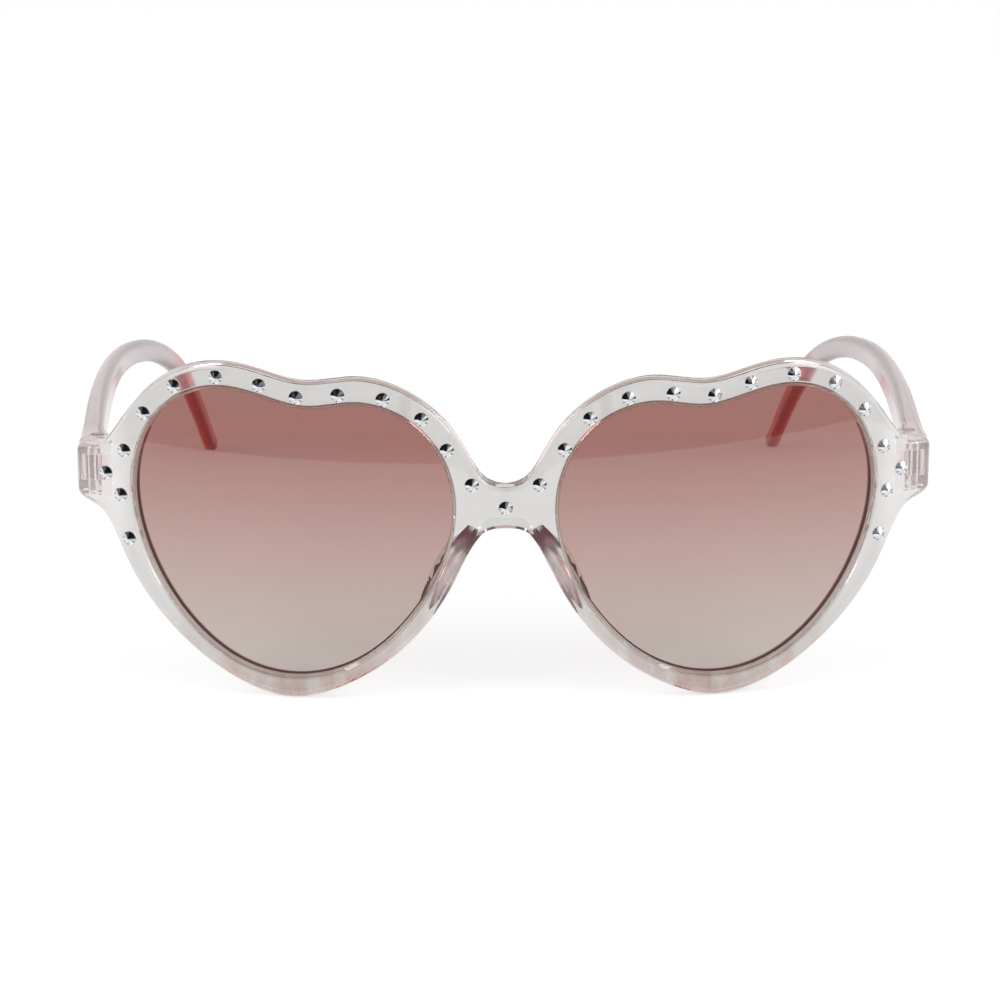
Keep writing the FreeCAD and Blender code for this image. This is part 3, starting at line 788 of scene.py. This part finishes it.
def studio_cloth(name, colour, seen_through):
    """Cloth of the studio's ceiling and flags; a mirrored flag isn't seen through the clear plastic."""
    # An even tone, so that stones and edges have something dark to mirror.
    material, tree = new_material(name)
    cloth = add_node(tree, "ShaderNodeEmission", {"Color": opaque(linear(colour)), "Strength": 1.0})
    if not seen_through:
        nothing = add_node(tree, "ShaderNodeBsdfTransparent", {"Color": WHITE})
        path = add_node(tree, "ShaderNodeLightPath")
        cloth = add_node(tree, "ShaderNodeMixShader", {
            0: path.outputs["Is Transmission Ray"], 1: cloth.outputs[0], 2: nothing.outputs[0]})
    add_node(tree, "ShaderNodeOutputMaterial", {"Surface": cloth.outputs[0]})
    return material


def studio_world():
    """A plain soft light from all round, white where it is seen."""
    world = bpy.data.worlds.new("Soft studio")
    world.use_nodes = True
    tree = world.node_tree
    tree.nodes.clear()
    strength = add_node(tree, "ShaderNodeMath", {
        0: shown_level(tree, *WORLD_LEVELS), 1: WORLD_LIGHT}, operation="MAXIMUM").outputs[0]
    soft = add_node(tree, "ShaderNodeBackground", {"Color": WHITE, "Strength": strength})
    add_node(tree, "ShaderNodeOutputWorld", {"Surface": soft.outputs[0]})
    bpy.context.scene.world = world


def stage_object(bm, name, material):
    """A bmesh as a stage object."""
    mesh = bpy.data.meshes.new(name)
    bm.to_mesh(mesh)
    bm.free()
    mesh.materials.append(material)
    thing = bpy.data.objects.new(name, mesh)
    bpy.context.scene.collection.objects.link(thing)
    return thing


def round_table(studio, bridge):
    """The round white table under the glasses."""
    bm = bmesh.new()
    bmesh.ops.create_circle(bm, cap_ends=True, radius=studio.table_radius, segments=TABLE_SEGMENTS)
    depth = bridge.y - studio.table_front + studio.table_radius
    bmesh.ops.translate(bm, verts=bm.verts, vec=(studio.table_offset, depth, -TABLE_GAP))
    stage_object(bm, "round_table", pale_table())


def cloth_arc(name, material, heights, turns, rays):
    """Part of a dome of cloth, between two heights and two turns from the front, all in degrees.

    Only the rays that are named see it.
    """
    lowest, highest = heights
    first, last = turns
    bm = bmesh.new()
    spots = []
    for count in range(CLOTH_RISES + 1):
        height = math.radians(lowest + (highest - lowest) * count / CLOTH_RISES)
        spots.append(bm.verts.new((0.0, -CLOTH_RADIUS * math.cos(height), CLOTH_RADIUS * math.sin(height))))
    line = [bm.edges.new(pair) for pair in zip(spots, spots[1:])]
    bmesh.ops.rotate(
        bm, verts=bm.verts, cent=(0.0, 0.0, 0.0), matrix=Matrix.Rotation(math.radians(first), 3, "Z"))
    bmesh.ops.spin(
        bm, geom=spots + line, cent=(0.0, 0.0, 0.0), axis=(0.0, 0.0, 1.0),
        angle=math.radians(last - first), steps=CLOTH_STEPS, use_merge=turns == WHOLE_TURN)
    show_only(stage_object(bm, name, material), rays)


def standing_card(name, material, sides, depth):
    """A card that stands in front of the table from side to side, seen only in mirror rays."""
    bm = bmesh.new()
    bmesh.ops.create_grid(bm, x_segments=1, y_segments=1, size=0.5)
    bmesh.ops.scale(bm, verts=bm.verts, vec=(sides[1] - sides[0], CARD_LEVELS[1] - CARD_LEVELS[0], 1.0))
    bmesh.ops.rotate(
        bm, verts=bm.verts, cent=(0.0, 0.0, 0.0), matrix=Matrix.Rotation(math.radians(90.0), 3, "X"))
    bmesh.ops.translate(bm, verts=bm.verts, vec=(sum(sides) / 2, depth, sum(CARD_LEVELS) / 2))
    show_only(stage_object(bm, name, material), ("glossy",))


def show_only(thing, rays):
    """Hides a stage object from all but the rays that are named."""
    thing.visible_camera = False
    thing.visible_diffuse = False
    thing.visible_shadow = False
    thing.visible_glossy = "glossy" in rays
    thing.visible_transmission = "transmission" in rays


def softbox(name, place, target):
    """A square soft lamp that faces the glasses."""
    lamp = bpy.data.lights.new(name, "AREA")
    lamp.size = SOFTBOX_WIDTH
    lamp.energy = SOFTBOX_WATTS
    thing = bpy.data.objects.new(name, lamp)
    bpy.context.scene.collection.objects.link(thing)
    thing.location = place
    thing.rotation_euler = (target - place).to_track_quat("-Z", "Y").to_euler()
    thing.visible_camera = False


def photo_camera(studio, bridge):
    """The camera of the photograph, aimed at the bridge."""
    across = math.sin(studio.camera_turn) * math.cos(studio.camera_height)
    along = math.cos(studio.camera_turn) * math.cos(studio.camera_height)
    forward = Vector((across, along, -math.sin(studio.camera_height)))
    camera = bpy.data.cameras.new("photo_camera")
    camera.sensor_width = SENSOR_WIDTH_MM
    camera.lens = studio.focal_pixels * SENSOR_WIDTH_MM / PICTURE_PIXELS
    camera.shift_x = (PICTURE_PIXELS / 2 - studio.middle_column) / PICTURE_PIXELS
    thing = bpy.data.objects.new("photo_camera", camera)
    bpy.context.scene.collection.objects.link(thing)
    thing.location = bridge - forward * studio.camera_distance
    thing.rotation_euler = forward.to_track_quat("-Z", "Y").to_euler()
    bpy.context.scene.camera = thing


class SUNGLASSES_OT_stage(bpy.types.Operator):
    """Set up the pale table, the soft light and the camera"""
    bl_idname = "sunglasses.stage"
    bl_label = "Stage"

    def execute(self, context):
        studio = context.scene.sunglasses_studio
        bridge = Vector((0.0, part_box("front_frame")[0].y, studio.bridge_level))
        round_table(studio, bridge)
        pale = studio_cloth("Pale studio cloth", "#D2C6C5", True)
        grey = studio_cloth("Grey studio cloth", "#8E8D92", False)
        black = studio_cloth("Black studio cloth", "#1E1C1E", False)
        cloth_arc("seen_ceiling", pale, CEILING_HEIGHTS, WHOLE_TURN, ("transmission",))
        cloth_arc("low_flag", black, FLAG_HEIGHTS, FLAG_TURNS, ("glossy",))
        card_depth = bridge.y - CARD_DISTANCE
        standing_card("black_card", black, BLACK_CARD_SIDES, card_depth)
        standing_card("grey_card", grey, GREY_CARD_SIDES, card_depth)
        studio_world()
        across, along, up = SOFTBOX_PLACE
        softbox("left_softbox", Vector((across, along, up)), bridge)
        softbox("right_softbox", Vector((-across, along, up)), bridge)
        photo_camera(studio, bridge)
        context.scene.view_settings.view_transform = "Standard"
        return {"FINISHED"}


class SUNGLASSES_PT_panel(bpy.types.Panel):
    """Lists the pieces and their settings"""
    bl_idname = "SUNGLASSES_PT_panel"
    bl_label = "Heart Sunglasses"
    bl_space_type = "VIEW_3D"
    bl_region_type = "UI"
    bl_category = "Sunglasses"

    def draw(self, context):
        layout = self.layout
        for group in (context.scene.sunglasses_finish, context.scene.sunglasses_hinge,
                      context.scene.sunglasses_studio):
            box = layout.box()
            for name in group.__annotations__:
                box.prop(group, name)
        for operator in OPERATORS:
            layout.operator(operator.bl_idname)


OPERATORS = (
    SUNGLASSES_OT_front,
    SUNGLASSES_OT_lenses,
    SUNGLASSES_OT_temples,
    SUNGLASSES_OT_hinge_screws,
    SUNGLASSES_OT_rhinestones,
    SUNGLASSES_OT_stage,
)
CLASSES = (FinishSettings, HingeSettings, StudioSettings, *OPERATORS, SUNGLASSES_PT_panel)


def register():
    for kind in CLASSES:
        bpy.utils.register_class(kind)
    bpy.types.Scene.sunglasses_finish = PointerProperty(type=FinishSettings)
    bpy.types.Scene.sunglasses_hinge = PointerProperty(type=HingeSettings)
    bpy.types.Scene.sunglasses_studio = PointerProperty(type=StudioSettings)


def unregister():
    del bpy.types.Scene.sunglasses_studio
    del bpy.types.Scene.sunglasses_hinge
    del bpy.types.Scene.sunglasses_finish
    for kind in reversed(CLASSES):
        bpy.utils.unregister_class(kind)


def main():
    register()
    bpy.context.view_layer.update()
    bpy.ops.sunglasses.front()
    bpy.ops.sunglasses.lenses()
    bpy.ops.sunglasses.temples()
    bpy.ops.sunglasses.hinge_screws()
    bpy.ops.sunglasses.rhinestones()
    bpy.ops.sunglasses.stage()
    bpy.context.view_layer.update()


if __name__ == "__main__":
    main()
